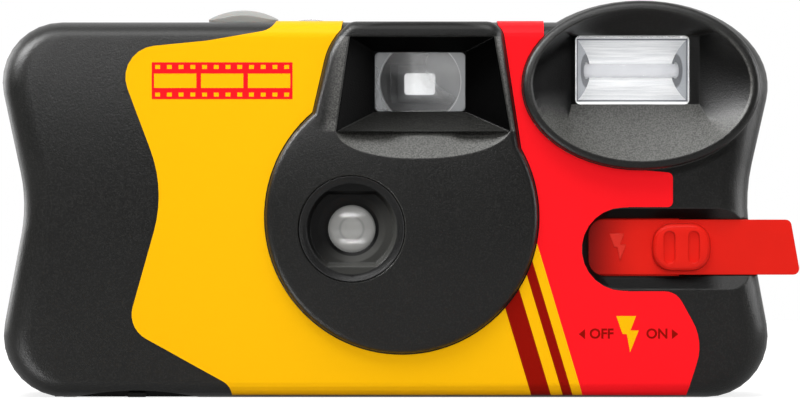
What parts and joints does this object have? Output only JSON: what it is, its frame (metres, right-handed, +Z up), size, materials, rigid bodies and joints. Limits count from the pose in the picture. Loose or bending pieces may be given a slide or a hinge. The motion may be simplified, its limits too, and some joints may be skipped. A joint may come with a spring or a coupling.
{
  "type": "disposable film camera",
  "caption": "Waisted single-use 35 mm camera with a raised lens panel, hooded viewfinder, oval flash bowl and a side flash slider.",
  "frame": {"origin": "on the base, midway across the width and the depth", "axes": "+X to the right seen from the front, +Y to the back, +Z up"},
  "size_m": [0.1214, 0.0341, 0.0605],
  "materials": {
    "black_shell": "fine-textured black plastic",
    "black_inner": "black plastic",
    "wheel_black": "ribbed black plastic",
    "label_print": "printed film label",
    "milky_plastic": "milky plastic",
    "red_plastic": "red plastic",
    "clear_plastic": "clear moulded plastic",
    "white_plastic": "white plastic",
    "film_base": "film base",
    "cassette_metal": "lacquered steel",
    "blade_metal": "blackened sheet",
    "spring_steel": "spring steel",
    "bright_reflector": "bright metallised plastic",
    "board_green": "coated circuit board",
    "capacitor_sleeve": "shrink sleeve",
    "winding_copper": "enamelled wire",
    "cell_jacket": "plain cell jacket",
    "amber_plastic": "amber light pipe"
  },
  "bodies": {
    "camera": {"front_cover": "black_shell", "rear_cover": "black_shell", "lens_retainer": "black_shell", "main_frame": "black_inner", "shutter_plate": "black_inner", "front_label": "label_print", "counter_lens": "clear_plastic", "taking_lens": "clear_plastic", "viewfinder_front_lens": "clear_plastic", "viewfinder_rear_lens": "clear_plastic", "flash_window": "clear_plastic", "flash_tube": "clear_plastic", "flash_housing": "white_plastic", "film_strip": "film_base", "film_cassette": "cassette_metal", "high_energy_spring": "spring_steel", "shutter_spring": "spring_steel", "switch_contact": "spring_steel", "battery_contact_top": "spring_steel", "battery_contact_base": "spring_steel", "flash_reflector": "bright_reflector", "circuit_board": "board_green", "flash_capacitor": "capacitor_sleeve", "transformer": "winding_copper", "trigger_coil": "winding_copper", "battery": "cell_jacket", "ready_light": "amber_plastic"},
    "winder": {"thumbwheel": "wheel_black", "cassette_spool": "black_inner"},
    "film_supply": {"film_roll": "film_base", "supply_spool": "black_inner"},
    "sprocket_shaft": {"sprocket": "black_inner", "cam_wheel": "white_plastic"},
    "counter": {"counter_dial": "white_plastic"},
    "striker": {"high_energy_lever": "white_plastic"},
    "shutter": {"shutter_blade": "blade_metal"},
    "metering": {"metering_lever": "white_plastic"},
    "button": {"shutter_button": "milky_plastic"},
    "flash_switch": {"flash_slider": "red_plastic"},
    "door": {"cassette_door": "black_shell"}
  },
  "joints": [
    {"name": "film_advance", "type": "hinge", "parent": "camera", "child": "winder", "pos_m": [-0.038, 0.0012, 0.0525], "axis": [0, 0, 1], "continuous": true},
    {"name": "supply_turn", "type": "hinge", "parent": "camera", "child": "film_supply", "pos_m": [0.026, 0.0041, 0.0257], "axis": [0, 0, 1], "continuous": true},
    {"name": "sprocket_turn", "type": "hinge", "parent": "camera", "child": "sprocket_shaft", "pos_m": [-0.017, 0.00645, 0.04], "axis": [0, 0, 1], "continuous": true},
    {"name": "counter_turn", "type": "hinge", "parent": "camera", "child": "counter", "pos_m": [-0.0115, -0.00155, 0.0536], "axis": [0, 0, 1], "continuous": true},
    {"name": "striker_swing", "type": "hinge", "parent": "camera", "child": "striker", "pos_m": [-0.0115, -0.00155, 0.0459], "axis": [0, 0, 1], "range_deg": [0, 22], "stiffness_Nm_per_rad": 0.002, "springref_deg": -17.19},
    {"name": "shutter_swing", "type": "hinge", "parent": "camera", "child": "shutter", "pos_m": [-0.0102, -0.01215, 0.0375], "axis": [0, 1, 0], "range_deg": [0, 30]},
    {"name": "metering_swing", "type": "hinge", "parent": "camera", "child": "metering", "pos_m": [-0.0195, -0.00195, 0.0515], "axis": [0, 0, 1], "range_deg": [-4, 4], "stiffness_Nm_per_rad": 0.0005},
    {"name": "button_press", "type": "slide", "parent": "camera", "child": "button", "axis": [0, 0, -1], "range_m": [0, 0.0012], "stiffness_N_per_m": 800},
    {"name": "flash_switch_slide", "type": "slide", "parent": "camera", "child": "flash_switch", "axis": [1, 0, 0], "range_m": [-0.008, 0]},
    {"name": "door_hinge", "type": "hinge", "parent": "camera", "child": "door", "pos_m": [-0.038, 0.01345, 0.0005], "axis": [1, 0, 0], "range_deg": [0, 95], "stiffness_Nm_per_rad": 0.002, "springref_deg": -17.19}
  ],
  "couplings": [
    {"joint": "supply_turn", "follows": "film_advance", "ratio": 0.6867},
    {"joint": "sprocket_turn", "follows": "film_advance", "ratio": 0.9421},
    {"joint": "counter_turn", "follows": "film_advance", "ratio": -0.02355},
    {"joint": "shutter_swing", "follows": "striker_swing", "ratio": 1.3}
  ]
}
